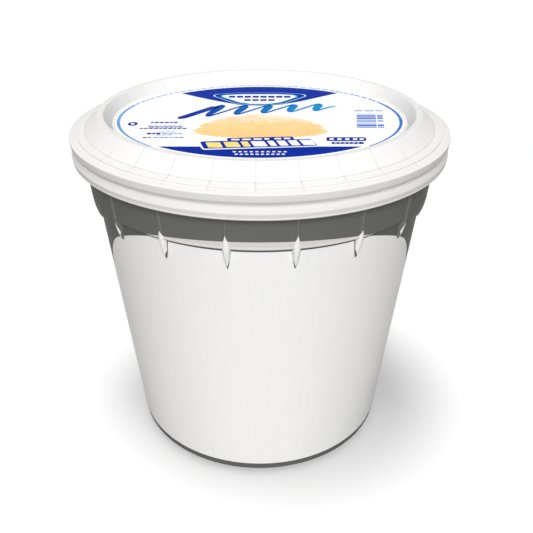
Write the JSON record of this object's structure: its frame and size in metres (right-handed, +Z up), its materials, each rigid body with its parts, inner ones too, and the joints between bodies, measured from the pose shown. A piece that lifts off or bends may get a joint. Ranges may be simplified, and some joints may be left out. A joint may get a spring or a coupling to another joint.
{
  "type": "ice cream tub",
  "caption": "Round tapered ice cream tub, shut with a press-on lid, with a ribbed collar, wrap labels and a round label in the lid.",
  "frame": {"origin": "centre of the base, on the plane the tub stands on", "axes": "+Z up along the tub's axis, front of the print towards -Y, +X to the right seen from the front"},
  "size_m": [0.2116, 0.2116, 0.2004],
  "materials": {
    "tub_plastic": "satin",
    "lid_plastic": "satin",
    "lid_label_film": "gloss",
    "wall_label_film": "satin"
  },
  "bodies": {
    "root": {"tub": "tub_plastic", "lid": "lid_plastic", "lid_label": "lid_label_film", "label_front": "wall_label_film", "label_back": "wall_label_film"}
  },
  "joints": []
}
